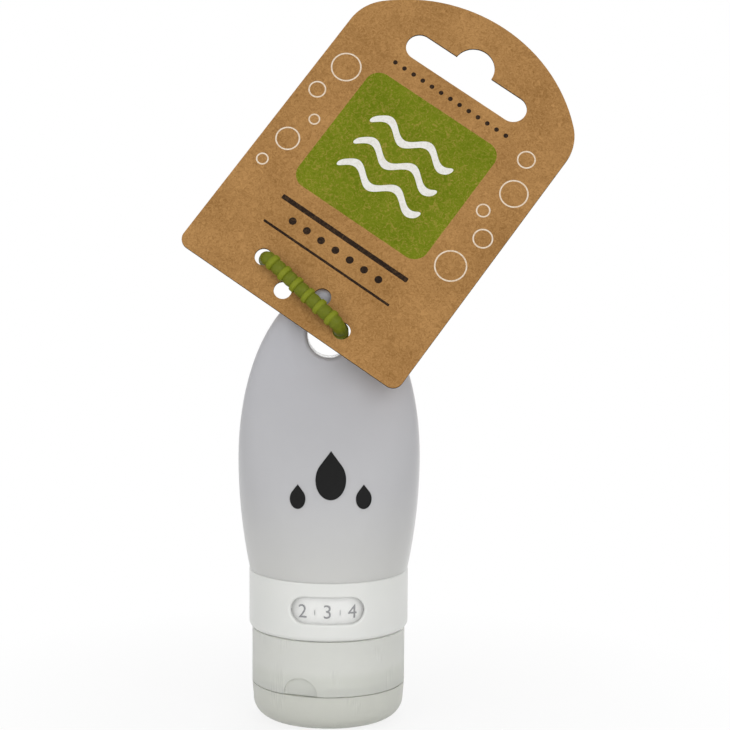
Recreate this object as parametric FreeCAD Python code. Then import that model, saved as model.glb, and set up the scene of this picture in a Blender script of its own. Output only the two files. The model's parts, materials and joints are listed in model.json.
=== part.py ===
import FreeCAD, Part
import math
import os

# Travel bottle of soft silicone that stands on its flip-top screw cap, with a dial collar
# round the neck, a card tag and a beaded tie through the hanging loop.
# Millimetres, +Z up along the bottle's axis, front towards -Y. The origin is the centre of
# the lid's flat end, on which the bottle stands.

Vector = FreeCAD.Vector
up = Vector(0, 0, 1)
across = Vector(1, 0, 0)
back = Vector(0, 1, 0)
origin = Vector(0, 0, 0)

# Fits
running_gap = 0.3
seat_gap = 0.05
rim_gap = 0.1
cut_overrun = 2.0
pick_tolerance = 0.01

# Neck and its screw thread
neck_bore_radius = 12.6
neck_wall = 2.0
neck_step = 1.1
neck_bead_rise = 1.2
neck_bead_height = 1.2
neck_bead_chamfer = 0.4
thread_pitch = 4.0
thread_turns = 1.3
thread_depth = 1.2
thread_root_width = 1.7
thread_crest_width = 0.9
thread_sink = 0.2
thread_lead_in = 1.7
thread_vent_width = 3.0
thread_vent_count = 3

# Screw cap
base_height = 12.6
base_wall = 1.5
base_rim_round = 0.4
deck_thickness = 1.4
spout_bore_radius = 2.6
spout_wall = 1.3
spout_height = 3.0
spout_round = 0.5
locating_ring_wall = 0.9
locating_ring_height = 0.9
notch_radius = 4.1
notch_depth = 0.8
cap_turn_deg = -20.6

# Valve snapped into the cap
valve_radius = 8.0
valve_flange_thickness = 1.2
valve_flange_width = 2.8
valve_skin = 0.7
valve_slit_width = 0.25
valve_slit_length = 7.0
valve_boss_wall = 1.0
valve_lip_height = 0.6
valve_lip_reach = 0.3

# Sealing washer under the neck rim
seal_thickness = 1.2
seal_overhang = 0.9

# Flip lid
lid_height = 8.2
lid_taper = 0.3
lid_corner_radius = 4.4
lid_wall = 1.3
split_gap = 0.2
plug_clearance = 0.4
plug_reach = 2.0
plug_chamfer = 0.5

# Butterfly hinge at the back of the cap
hinge_offset = 0.2
hinge_bead_radius = 0.45
hinge_waist_half_width = 2.6
hinge_waist_half_height = 1.1
hinge_wing_half_width = 8.0
hinge_wing_half_height = 3.4
hinge_panel_depth = 0.6

# Dial collar, its window and the number band inside it
collar_height = 13.6
collar_wall = 1.65
collar_lip_height = 1.2
collar_lip_clearance = 0.5
collar_bottom_round = 1.4
collar_top_round = 0.4
window_width = 16.4
window_height = 6.2
window_lift = 0.4
window_round = 0.45
lens_flange = 0.6
lens_thickness = 0.75
band_thickness = 0.6

# Soft body: a round shoulder, a wide belly and a flat hanging end
shoulder_step = 0.1
belly_rise = 25.7
belly_half_width = 20.8
crown_rise = 39.5
body_wall = 2.0
loop_thickness = 7.6
loop_drop = 11.4
loop_radius = 5.05
loop_edge_round = 1.2
loop_land_width = 2.7
loop_land_thickness = 6.0
loop_land_blend = 1.6
cavity_margin = 3.0
shoulder_slope_height = 4.5
round_power = 2.0
flat_power = 2.8
taper_power = 1.4
section_points = 32
lower_section_shares = (0.0, 0.17, 0.34, 0.5, 0.67, 0.84)
crown_section_shares = (0.0, 0.14, 0.28, 0.41, 0.53, 0.64, 0.73, 0.81, 0.88, 0.93, 0.97)
slope_section_shares = (0.0, 0.25, 0.5, 0.75)
cavity_section_shares = (0.0, 0.2, 0.4, 0.6, 0.78, 0.9, 0.97, 1.0)

# Card tag that leans on the top of the bottle
tag_width = 60.9
tag_height = 86.4
tag_thickness = 0.6
tag_crown_radius = 39.0
tag_shoulder_radius = 11.0
tag_corner_radius = 2.5
tag_lean_deg = 23.2
tag_turn_deg = 35.3
tag_shift_across = -9.9
tag_shift_along = -5.0
slot_length = 32.8
slot_width = 6.4
slot_drop = 15.4
slot_bump_radius = 4.9
slot_bump_rise = 3.0
tie_hole_count = 4
tie_hole_radius = 2.05
tie_hole_spacing = 8.2
tie_hole_high = 8.45
tie_hole_low = 4.55

# Beaded tie
strand_radius = 1.5
bead_radius = 1.95
bead_width = 1.15
bead_round = 0.3
bead_pitch = 3.7
bead_clearance = 0.2
bend_run_share = 0.45
tie_front_bend = 2.3
tie_hole_bend = 3.2
tie_back_bend = 3.4
tie_loop_offset = 2.4
tie_loop_front_run = 4.0
tie_loop_back_run = 7.0
tie_hole_run = 3.0
eye_depth = 12.5
eye_shift_across = 4.3
eye_shift_along = 9.5
eye_radius = 3.6
eye_thickness = 3.0
eye_clearance = 0.3
tail_run = 14.0
tail_tip_length = 3.5
tail_tip_radius = 0.5

# Radii worked out from the neck outwards
neck_core_radius = neck_bore_radius + neck_wall
thread_crest_radius = neck_core_radius + thread_depth
base_bore_radius = thread_crest_radius + running_gap
cap_radius = base_bore_radius + base_wall
neck_seat_radius = neck_core_radius + neck_step
neck_bead_radius = neck_seat_radius + neck_bead_rise
band_radius = neck_seat_radius + seat_gap + band_thickness
collar_bore_radius = band_radius + running_gap
collar_radius = collar_bore_radius + collar_wall
collar_groove_radius = neck_bead_radius + running_gap
collar_lip_radius = neck_seat_radius + collar_lip_clearance
shoulder_radius = collar_radius - shoulder_step
valve_boss_radius = valve_radius + seat_gap
lid_bore_radius = cap_radius - lid_wall
plug_radius = spout_bore_radius - plug_clearance

# Heights worked out from the lid upwards
base_bottom = lid_height + split_gap
base_top = base_bottom + base_height
deck_top = base_bottom + deck_thickness
spout_end = base_bottom - spout_height
valve_bottom = deck_top + seat_gap
valve_top = valve_bottom + valve_flange_thickness
seal_bottom = deck_top + seat_gap
neck_rim = seal_bottom + seal_thickness + seat_gap
collar_bottom = base_top + rim_gap
collar_top = collar_bottom + collar_height
window_middle = (collar_bottom + collar_top) / 2 + window_lift
neck_bead_bottom = collar_bottom + collar_lip_height + running_gap
neck_bead_top = neck_bead_bottom + neck_bead_height
shoulder = collar_top + rim_gap
band_bottom = neck_bead_top + 2 * running_gap
band_top = shoulder - 2 * running_gap
belly = shoulder + belly_rise
body_top = belly + crown_rise
loop_height = body_top - loop_drop
loop_land_radius = loop_radius + loop_land_width
web_height = loop_height - loop_radius
cavity_bottom = shoulder + shoulder_slope_height
cavity_top = loop_height - loop_land_radius - loop_land_blend - cavity_margin
hinge_height = lid_height + split_gap / 2
hinge_reach = cap_radius + hinge_offset
slot_rise = tag_height - slot_drop


def disc(radius, low, high):
    return Part.makeCylinder(radius, high - low, Vector(0, 0, low))


def ring(inner, outer, low, high):
    return disc(outer, low, high).cut(disc(inner, low - cut_overrun, high + cut_overrun))


def turned(edges, axis):
    return Part.Face(Part.Wire(edges)).revolve(origin, axis, 360)


def lines(points):
    return [Part.LineSegment(a, b).toShape() for a, b in zip(points, points[1:])]


def corner_arc(centre, start, end, radius):
    middle = (start - centre) + (end - centre)
    middle.normalize()
    return Part.Arc(start, centre + middle * radius, end).toShape()


def circles_at(shape, radius, height):
    found = []
    for edge in shape.Edges:
        if not isinstance(edge.Curve, Part.Circle):
            continue
        same_radius = abs(edge.Curve.Radius - radius) < pick_tolerance
        same_height = abs(edge.Curve.Center.z - height) < pick_tolerance
        if same_radius and same_height:
            found.append(edge)
    return found


def obround(width, height, middle, reach):
    # Prism along -Y from the axis, with round ends, centred on X
    half_height = height / 2
    half_run = width / 2 - half_height
    low = middle - half_height
    high = middle + half_height
    right_bottom = Vector(half_run, 0, low)
    right_top = Vector(half_run, 0, high)
    left_bottom = Vector(-half_run, 0, low)
    left_top = Vector(-half_run, 0, high)
    edges = [
        Part.LineSegment(left_bottom, right_bottom).toShape(),
        Part.Arc(right_bottom, Vector(width / 2, 0, middle), right_top).toShape(),
        Part.LineSegment(right_top, left_top).toShape(),
        Part.Arc(left_top, Vector(-width / 2, 0, middle), left_bottom).toShape(),
    ]
    return Part.Face(Part.Wire(edges)).extrude(back * -reach)


def thread_ridge(root_radius, crest_radius, bottom):
    # Helical ridge with a tapered flank; the root end is sunk into its wall
    sink = math.copysign(thread_sink, root_radius - crest_radius)
    profile = Part.makePolygon([
        Vector(root_radius + sink, 0, -thread_root_width / 2),
        Vector(crest_radius, 0, -thread_crest_width / 2),
        Vector(crest_radius, 0, thread_crest_width / 2),
        Vector(root_radius + sink, 0, thread_root_width / 2),
        Vector(root_radius + sink, 0, -thread_root_width / 2),
    ])
    helix = Part.makeHelix(thread_pitch, thread_pitch * thread_turns, root_radius)
    ridge = Part.Wire(helix.Edges).makePipeShell([profile], True, True)
    ridge.translate(up * bottom)
    return ridge


def body_half_width(height):
    if height < belly:
        drop = (belly - height) / belly_rise
        return belly_half_width - (belly_half_width - shoulder_radius) * drop ** 2
    rise = (height - belly) / crown_rise
    return belly_half_width * math.sqrt(1 - rise ** 2)


def taper_share(height):
    share = (height - shoulder) / (web_height - shoulder)
    return min(1.0, max(0.0, share))


def body_half_depth(height):
    fall = (1 - math.cos(math.pi * taper_share(height) ** taper_power)) / 2
    half = shoulder_radius + (loop_thickness / 2 - shoulder_radius) * fall
    tip = height - (body_top - loop_thickness / 2)
    if tip > 0:
        half = loop_thickness / 2 * math.sqrt(1 - (tip / (loop_thickness / 2)) ** 2)
    return half


def closed_curve(points):
    curve = Part.BSplineCurve()
    curve.interpolate(points, PeriodicFlag=True)
    return Part.Wire(curve.toShape())


def section(height, inset):
    # Closed outline of the body at one height: round at the shoulder, flatter at the loop
    half_width = body_half_width(height) - inset
    half_depth = body_half_depth(height) - inset
    power = round_power + (flat_power - round_power) * taper_share(height)
    return oval(half_width, half_depth, height, power)


def oval(half_width, half_depth, height, power):
    exponent = 2 / power
    points = []
    for step in range(section_points):
        angle = 2 * math.pi * step / section_points
        side = math.copysign(abs(math.cos(angle)) ** exponent, math.cos(angle))
        face = math.copysign(abs(math.sin(angle)) ** exponent, math.sin(angle))
        points.append(Vector(half_width * side, half_depth * face, height))
    return closed_curve(points)


def cavity_inset(height):
    # Wall thickness of the body: thick where the neck meets the shoulder, even above that
    neck_inset = shoulder_radius - neck_bore_radius - running_gap
    share = min(1.0, (height - shoulder) / shoulder_slope_height)
    return body_wall + (neck_inset - body_wall) * (1 + math.cos(math.pi * share)) / 2


def body_cavity():
    heights = [shoulder + shoulder_slope_height * share for share in slope_section_shares]
    heights += [cavity_bottom + (cavity_top - cavity_bottom) * share for share in cavity_section_shares]
    chamber = Part.makeLoft([section(height, cavity_inset(height)) for height in heights], True)
    bore = disc(neck_bore_radius, neck_rim - cut_overrun, shoulder + shoulder_slope_height / 2)
    return bore.fuse(chamber)


def loop_cutter():
    # Hanging hole with rounded rims in a flat land, turned about the Y axis through the hole
    land = loop_land_thickness / 2
    outer = loop_land_radius + loop_land_blend
    far = shoulder_radius
    rim_centre = Vector(loop_radius + loop_edge_round, land - loop_edge_round, 0)
    rim_start = Vector(loop_radius, land - loop_edge_round, 0)
    rim_end = Vector(loop_radius + loop_edge_round, land, 0)
    blend_start = Vector(loop_land_radius, land, 0)
    blend_end = Vector(outer, land + loop_land_blend, 0)
    blend_centre = Vector(loop_land_radius, land + loop_land_blend, 0)
    edges = lines([origin, Vector(loop_radius, 0, 0), rim_start])
    edges.append(corner_arc(rim_centre, rim_start, rim_end, loop_edge_round))
    edges += lines([rim_end, blend_start])
    edges.append(corner_arc(blend_centre, blend_start, blend_end, loop_land_blend))
    edges += lines([blend_end, Vector(outer, far, 0), Vector(0, far, 0), origin])
    half = turned(edges, back)
    cutter = half.fuse(half.mirror(origin, back)).removeSplitter()
    cutter.translate(up * loop_height)
    return cutter


def squeeze_body():
    heights = [shoulder + belly_rise * share for share in lower_section_shares]
    heights += [belly + crown_rise * math.sin(share * math.pi / 2) for share in crown_section_shares]
    skin = Part.makeLoft([section(height, 0) for height in heights], True)
    seat = disc(neck_seat_radius, collar_bottom, shoulder + body_wall)
    snap_ring = disc(neck_bead_radius, neck_bead_bottom, neck_bead_top)
    lower_rim = circles_at(snap_ring, neck_bead_radius, neck_bead_bottom)
    snap_ring = snap_ring.makeChamfer(neck_bead_chamfer, lower_rim)
    core = disc(neck_core_radius, neck_rim, collar_bottom + body_wall)
    outside = skin.fuse([seat, snap_ring, core])
    hollow = outside.cut(body_cavity()).cut(loop_cutter())
    ridge = thread_ridge(neck_core_radius, thread_crest_radius, neck_rim + thread_lead_in)
    return hollow.fuse(ridge)


def dial_band():
    return ring(neck_seat_radius + seat_gap, band_radius, band_bottom, band_top)


def lens_prism(clearance):
    width = window_width + 2 * (lens_flange - clearance)
    height = window_height + 2 * (lens_flange - clearance)
    return obround(width, height, window_middle, collar_radius + cut_overrun)


def selector_collar():
    body = disc(collar_radius, collar_bottom, collar_top)
    body = body.makeFillet(collar_bottom_round, circles_at(body, collar_radius, collar_bottom))
    body = body.makeFillet(collar_top_round, circles_at(body, collar_radius, collar_top))
    body = body.cut(disc(collar_lip_radius, collar_bottom - cut_overrun, collar_top))
    body = body.cut(disc(collar_bore_radius, collar_bottom + collar_lip_height, collar_top + cut_overrun))
    groove_bottom = neck_bead_bottom - running_gap
    groove_top = neck_bead_top + running_gap
    body = body.cut(disc(collar_groove_radius, groove_bottom, groove_top))
    reach = collar_radius + cut_overrun
    body = body.cut(obround(window_width, window_height, window_middle, reach))
    rims = [edge for edge in body.Edges if is_window_rim(edge)]
    body = body.makeFillet(window_round, rims)
    pocket = disc(collar_bore_radius + lens_thickness, collar_bottom, collar_top)
    return body.cut(lens_prism(0).common(pocket))


def is_window_rim(edge):
    # True for the edges where the window meets the collar's outer wall
    first = edge.valueAt(edge.FirstParameter)
    last = edge.valueAt(edge.LastParameter)
    for point in (first, last, edge.CenterOfMass):
        if abs(point.z - window_middle) > window_height / 2 + pick_tolerance:
            return False
    for point in (first, last):
        if abs(math.hypot(point.x, point.y) - collar_radius) > pick_tolerance:
            return False
    return True


def window_lens():
    outer = collar_bore_radius + lens_thickness - seat_gap
    return lens_prism(seat_gap).common(ring(collar_bore_radius, outer, collar_bottom, collar_top))


def hinge_outline(growth):
    wing = hinge_wing_half_width + growth
    wing_height = hinge_wing_half_height + growth
    waist = hinge_waist_half_width
    waist_height = hinge_waist_half_height + growth
    corners = [
        (-wing, -wing_height), (-waist, -waist_height), (waist, -waist_height), (wing, -wing_height),
        (wing, wing_height), (waist, waist_height), (-waist, waist_height), (-wing, wing_height),
    ]
    points = [Vector(x, 0, hinge_height + z) for x, z in corners]
    outline = Part.Face(Part.makePolygon(points + points[:1]))
    return outline.extrude(back * (cap_radius + cut_overrun))


def hinge_pocket():
    shell = ring(cap_radius - hinge_panel_depth - seat_gap, cap_radius + cut_overrun, 0, base_top)
    return hinge_outline(seat_gap).common(shell)


def hinge_panel():
    # Bow-tie film that joins lid and base, with a round web on the hinge line
    film = hinge_outline(0).common(ring(cap_radius - hinge_panel_depth, cap_radius, 0, base_top))
    start = Vector(-hinge_waist_half_width, hinge_reach, hinge_height)
    web = Part.makeCylinder(hinge_bead_radius, 2 * hinge_waist_half_width, start, across)
    return film.fuse(web)


def thread_vents():
    vents = []
    for index in range(thread_vent_count):
        vent = Part.makeBox(base_bore_radius, thread_vent_width, base_height)
        vent.translate(Vector(0, -thread_vent_width / 2, deck_top))
        vent.rotate(origin, up, 360 * index / thread_vent_count)
        vents.append(vent)
    return vents


def cap_base():
    wall = ring(base_bore_radius, cap_radius, base_bottom, base_top)
    wall = wall.makeFillet(base_rim_round, circles_at(wall, cap_radius, base_top))
    deck = disc(base_bore_radius + thread_sink, base_bottom, deck_top)
    spout = disc(spout_bore_radius + spout_wall, spout_end, deck_top)
    spout = spout.makeFillet(spout_round, circles_at(spout, spout_bore_radius + spout_wall, spout_end))
    boss_top = valve_top + seat_gap + valve_lip_height
    boss = ring(valve_boss_radius, valve_boss_radius + valve_boss_wall, base_bottom, boss_top)
    lip_bottom = valve_top + seat_gap
    lip_outer = valve_boss_radius + valve_boss_wall
    lip = ring(valve_boss_radius - valve_lip_reach, lip_outer, lip_bottom, boss_top)
    locating_outer = lid_bore_radius - running_gap
    locating_bottom = base_bottom - locating_ring_height
    locating = ring(locating_outer - locating_ring_wall, locating_outer, locating_bottom, deck_top)
    body = wall.fuse([deck, spout, boss, lip, locating])
    body = body.cut(disc(spout_bore_radius, spout_end - cut_overrun, deck_top + cut_overrun))
    notch_start = Vector(0, notch_depth - cap_radius, base_bottom)
    body = body.cut(Part.makeCylinder(notch_radius, cap_radius, notch_start, -back))
    body = body.cut(hinge_pocket())
    crest = neck_core_radius + running_gap
    start = neck_rim + thread_lead_in + thread_pitch / 2
    ridge = thread_ridge(base_bore_radius, crest, start).cut(thread_vents())
    return body.fuse(ridge)


def slit_valve():
    flange = ring(valve_radius - valve_flange_width, valve_radius, valve_bottom, valve_top)
    skin = disc(valve_radius - valve_flange_width + valve_skin, valve_top - valve_skin, valve_top)
    body = flange.fuse(skin).removeSplitter()
    slit = Part.makeBox(valve_slit_length, valve_slit_width, valve_flange_thickness + cut_overrun)
    slit.translate(Vector(-valve_slit_length / 2, -valve_slit_width / 2, valve_bottom))
    crossing = slit.copy()
    crossing.rotate(origin, up, 90)
    return body.cut([slit, crossing])


def neck_seal():
    outer = neck_core_radius + seal_overhang
    return ring(neck_bore_radius, outer, seal_bottom, seal_bottom + seal_thickness)


def flip_lid():
    end_radius = cap_radius - lid_taper
    flat_radius = end_radius - lid_corner_radius
    inner_corner = lid_corner_radius - lid_wall
    centre = Vector(flat_radius, 0, lid_corner_radius)
    outer_start = Vector(flat_radius, 0, 0)
    outer_end = Vector(end_radius, 0, lid_corner_radius)
    inner_end = Vector(end_radius - lid_wall, 0, lid_corner_radius)
    inner_start = Vector(flat_radius, 0, lid_wall)
    edges = lines([origin, outer_start])
    edges.append(corner_arc(centre, outer_start, outer_end, lid_corner_radius))
    outer_rim = Vector(cap_radius, 0, lid_height)
    inner_rim = Vector(lid_bore_radius, 0, lid_height)
    edges += lines([outer_end, outer_rim, inner_rim, inner_end])
    edges.append(corner_arc(centre, inner_end, inner_start, inner_corner))
    edges += lines([inner_start, Vector(0, 0, lid_wall), origin])
    shell = turned(edges, up)
    plug_top = spout_end + plug_reach
    plug = disc(plug_radius, lid_wall / 2, plug_top)
    plug = plug.makeChamfer(plug_chamfer, circles_at(plug, plug_radius, plug_top))
    return shell.fuse(plug).cut(hinge_pocket())


def tag_placement():
    # The tag's back face is tangent to the rounded top of the hanging end
    lean = FreeCAD.Rotation(across, -tag_lean_deg)
    turn = FreeCAD.Rotation(back, tag_turn_deg)
    stand = FreeCAD.Rotation(across, 90)
    normal = lean.multVec(-back)
    slope = lean.multVec(up)
    tip_centre = up * (body_top - loop_thickness / 2)
    touch = tip_centre + normal * (loop_thickness / 2 + running_gap)
    place = touch + across * tag_shift_across + slope * tag_shift_along
    return FreeCAD.Placement(place, lean * turn * stand)


def tie_holes():
    places = []
    middle_index = (tie_hole_count - 1) / 2
    for index in range(tie_hole_count):
        rise = tie_hole_low if index % 2 else tie_hole_high
        places.append(Vector((index - middle_index) * tie_hole_spacing, rise, 0))
    return places


def standing_edges(card, rise):
    # Edges through the card's thickness at one height up the card
    found = []
    for edge in card.Edges:
        standing = abs(abs(edge.tangentAt(edge.FirstParameter).z) - 1) < pick_tolerance
        if standing and abs(edge.CenterOfMass.y - rise) < pick_tolerance:
            found.append(edge)
    return found


def hang_tag():
    half = tag_width / 2
    crown_drop = tag_crown_radius - math.sqrt(tag_crown_radius ** 2 - half ** 2)
    side = tag_height - crown_drop
    right_top = Vector(half, side, 0)
    left_top = Vector(-half, side, 0)
    edges = lines([left_top, Vector(-half, 0, 0), Vector(half, 0, 0), right_top])
    edges.append(Part.Arc(right_top, Vector(0, tag_height, 0), left_top).toShape())
    card = Part.Face(Part.Wire(edges)).extrude(up * tag_thickness)
    card = card.makeFillet(tag_shoulder_radius, standing_edges(card, side))
    card = card.makeFillet(tag_corner_radius, standing_edges(card, 0))
    slot = obround(slot_length, slot_width, slot_rise, tag_thickness + 2 * cut_overrun)
    slot.rotate(origin, across, -90)
    slot.translate(up * (-tag_thickness - cut_overrun))
    cuts = [slot]
    depth = tag_thickness + 2 * cut_overrun
    bump_place = Vector(0, slot_rise + slot_bump_rise, -cut_overrun)
    cuts.append(Part.makeCylinder(slot_bump_radius, depth, bump_place))
    for place in tie_holes():
        cuts.append(Part.makeCylinder(tie_hole_radius, depth, place - up * cut_overrun))
    card = card.cut(cuts)
    card.Placement = tag_placement()
    return card


def rounded_path(points, radii):
    # Straight runs joined by tangent arcs; each radius is limited by its runs
    edges = []
    start = points[0]
    for before, corner, after, radius in zip(points, points[1:], points[2:], radii):
        inward = (before - corner).normalize()
        outward = (after - corner).normalize()
        half_angle = inward.getAngle(outward) / 2
        run = min((before - corner).Length, (after - corner).Length)
        setback = min(radius / math.tan(half_angle), bend_run_share * run)
        bend_radius = setback * math.tan(half_angle)
        enter = corner + inward * setback
        leave = corner + outward * setback
        bisector = (inward + outward).normalize()
        centre = corner + bisector * (bend_radius / math.sin(half_angle))
        edges.append(Part.LineSegment(start, enter).toShape())
        edges.append(Part.Arc(enter, centre - bisector * bend_radius, leave).toShape())
        start = leave
    edges.append(Part.LineSegment(start, points[-1]).toShape())
    return edges


def bead(point, direction):
    body = Part.makeCylinder(bead_radius, bead_width, point - direction * (bead_width / 2), direction)
    rims = [edge for edge in body.Edges if isinstance(edge.Curve, Part.Circle)]
    return body.makeFillet(bead_round, rims)


def tag_tie():
    # The strand runs from its eye through the outer tag holes and the bottle's loop,
    # back through the eye, and ends in a pointed tail
    place = tag_placement()
    normal = place.Rotation.multVec(up)
    first_hole = place.multVec(tie_holes()[0])
    last_hole = place.multVec(tie_holes()[-1])
    front = normal * (tag_thickness + bead_radius + bead_clearance)
    behind_first = first_hole - normal * tie_hole_run
    eye_shift = Vector(eye_shift_across, eye_shift_along, -eye_depth)
    eye = place.multVec(tie_holes()[0] + eye_shift)
    stem = (behind_first - eye).normalize()
    pivot = Vector(tie_loop_offset, 0, loop_height)
    behind_loop = pivot - normal * tie_loop_back_run
    pull = (eye - behind_loop).normalize()
    tail = eye + pull * tail_run
    start = eye + stem * (eye_radius - eye_clearance)
    points = [
        start, behind_first, first_hole + front, last_hole + front, last_hole,
        pivot + normal * tie_loop_front_run, behind_loop, tail,
    ]
    radii = [tie_hole_bend, tie_front_bend, tie_front_bend, tie_hole_bend, tie_hole_bend, tie_back_bend]
    edges = rounded_path(points, radii)
    section_wire = Part.Wire(Part.Circle(start, stem, strand_radius).toShape())
    strand = Part.Wire(edges).makePipeShell([section_wire], True, False)
    tip = Part.makeCone(strand_radius, tail_tip_radius, tail_tip_length, tail, pull)
    eye_start = eye - pull * (eye_thickness / 2)
    eye_ring = Part.makeCylinder(eye_radius, eye_thickness, eye_start, pull)
    eye_bore = Part.makeCylinder(strand_radius + eye_clearance, eye_thickness, eye_start, pull)
    pieces = [tip, eye_ring.cut(eye_bore)] + tie_beads(edges, eye)
    length = sum(edge.Length for edge in edges)
    print("tie length %.1f mm" % length)
    return strand.fuse(pieces)


def tie_beads(edges, eye):
    # Beads at an even pitch both ways from the middle of the front run
    middle = sum(edge.Length for edge in edges[:4]) + edges[4].Length / 2
    first = (middle - bead_pitch / 2) % bead_pitch
    beads = []
    travelled = 0
    for edge in edges:
        along = (first - travelled) % bead_pitch
        while along < edge.Length:
            parameter = edge.getParameterByLength(along)
            point = edge.valueAt(parameter)
            if point.distanceToPoint(eye) > eye_radius + bead_width:
                beads.append(bead(point, edge.tangentAt(parameter).normalize()))
            along += bead_pitch
        travelled += edge.Length
    return beads


def build():
    cap_nodes = {
        "cap_base": cap_base(),
        "slit_valve": slit_valve(),
        "hinge_panel": hinge_panel(),
        "flip_lid": flip_lid(),
    }
    for shape in cap_nodes.values():
        shape.rotate(origin, up, cap_turn_deg)
    other_nodes = {
        "neck_seal": neck_seal(),
        "squeeze_body": squeeze_body(),
        "dial_band": dial_band(),
        "selector_collar": selector_collar(),
        "window_lens": window_lens(),
        "hang_tag": hang_tag(),
        "tag_tie": tag_tie(),
    }
    return cap_nodes | other_nodes


os.makedirs("parts", exist_ok=True)
for name, shape in build().items():
    shape.exportStep("parts/%s.step" % name)
    print(name, len(shape.Solids), shape.isValid(), "%.1f mm3" % shape.Volume)
inside = body_cavity().common(disc(2 * belly_half_width, neck_rim, body_top))
print("capacity %.1f ml" % (inside.Volume / 1000))
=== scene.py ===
import json
import math

import bpy
import numpy as np
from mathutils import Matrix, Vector


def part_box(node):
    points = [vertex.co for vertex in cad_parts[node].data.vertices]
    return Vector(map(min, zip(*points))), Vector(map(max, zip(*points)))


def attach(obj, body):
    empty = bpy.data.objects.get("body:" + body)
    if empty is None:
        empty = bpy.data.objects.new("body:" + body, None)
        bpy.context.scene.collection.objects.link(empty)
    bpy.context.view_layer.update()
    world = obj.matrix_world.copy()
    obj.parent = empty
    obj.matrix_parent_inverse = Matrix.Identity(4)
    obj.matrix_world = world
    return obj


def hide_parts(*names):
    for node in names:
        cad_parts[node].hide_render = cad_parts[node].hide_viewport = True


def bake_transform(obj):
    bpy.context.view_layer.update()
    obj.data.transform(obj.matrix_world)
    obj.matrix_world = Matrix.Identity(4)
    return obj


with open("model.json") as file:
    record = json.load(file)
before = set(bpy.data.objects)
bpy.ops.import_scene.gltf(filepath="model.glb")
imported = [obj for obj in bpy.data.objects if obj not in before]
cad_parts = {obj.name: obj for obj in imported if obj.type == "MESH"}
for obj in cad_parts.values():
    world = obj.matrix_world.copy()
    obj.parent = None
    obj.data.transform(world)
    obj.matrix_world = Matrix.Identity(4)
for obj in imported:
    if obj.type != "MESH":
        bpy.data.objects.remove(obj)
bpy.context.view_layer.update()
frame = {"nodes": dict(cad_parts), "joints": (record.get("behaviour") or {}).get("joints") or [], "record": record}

# Screw cap: the injection-moulded base that screws onto the neck, with deck, spout and thread.
# Natural polypropylene from a spark-eroded mould: milky and frosted, so that the neck shows
# dimly through its wall.
nodes = frame["nodes"]
mm = 0.001


def linear(hex_colour):
    # sRGB hex to the linear colour that a shader socket takes
    channels = [int(hex_colour[start:start + 2], 16) / 255 for start in (1, 3, 5)]
    decoded = [
        value / 12.92 if value <= 0.04045 else ((value + 0.055) / 1.055) ** 2.4
        for value in channels]
    return (*decoded, 1.0)


def add_node(tree, kind, settings):
    # One node: each entry is a property, an input's value, or the socket that feeds an input.
    # A Mix node's sockets go by number, because their names repeat: 0 is the share, 2 and 3 are
    # numbers that come out at 0, and 6 and 7 are colours that come out at 2
    node = tree.nodes.new(kind)
    for key, value in settings.items():
        if isinstance(value, bpy.types.NodeSocket):
            tree.links.new(value, node.inputs[key])
        elif isinstance(key, int) or key in node.inputs:
            node.inputs[key].default_value = value
        else:
            setattr(node, key, value)
    return node


def new_material(name):
    # An empty material, its node tree, and the coordinates that its patterns lie on
    material = bpy.data.materials.new(name)
    material.use_nodes = True
    tree = material.node_tree
    tree.nodes.clear()
    return material, tree, add_node(tree, "ShaderNodeTexCoord", {}).outputs["Object"]


def finish_in(piece, material, surface_settings):
    # Gives a piece its material, which ends in one surface shader with these settings
    tree = material.node_tree
    surface = add_node(tree, "ShaderNodeBsdfPrincipled", surface_settings)
    add_node(tree, "ShaderNodeOutputMaterial", {"Surface": surface.outputs["BSDF"]})
    piece.data.materials.clear()
    piece.data.materials.append(material)


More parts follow.
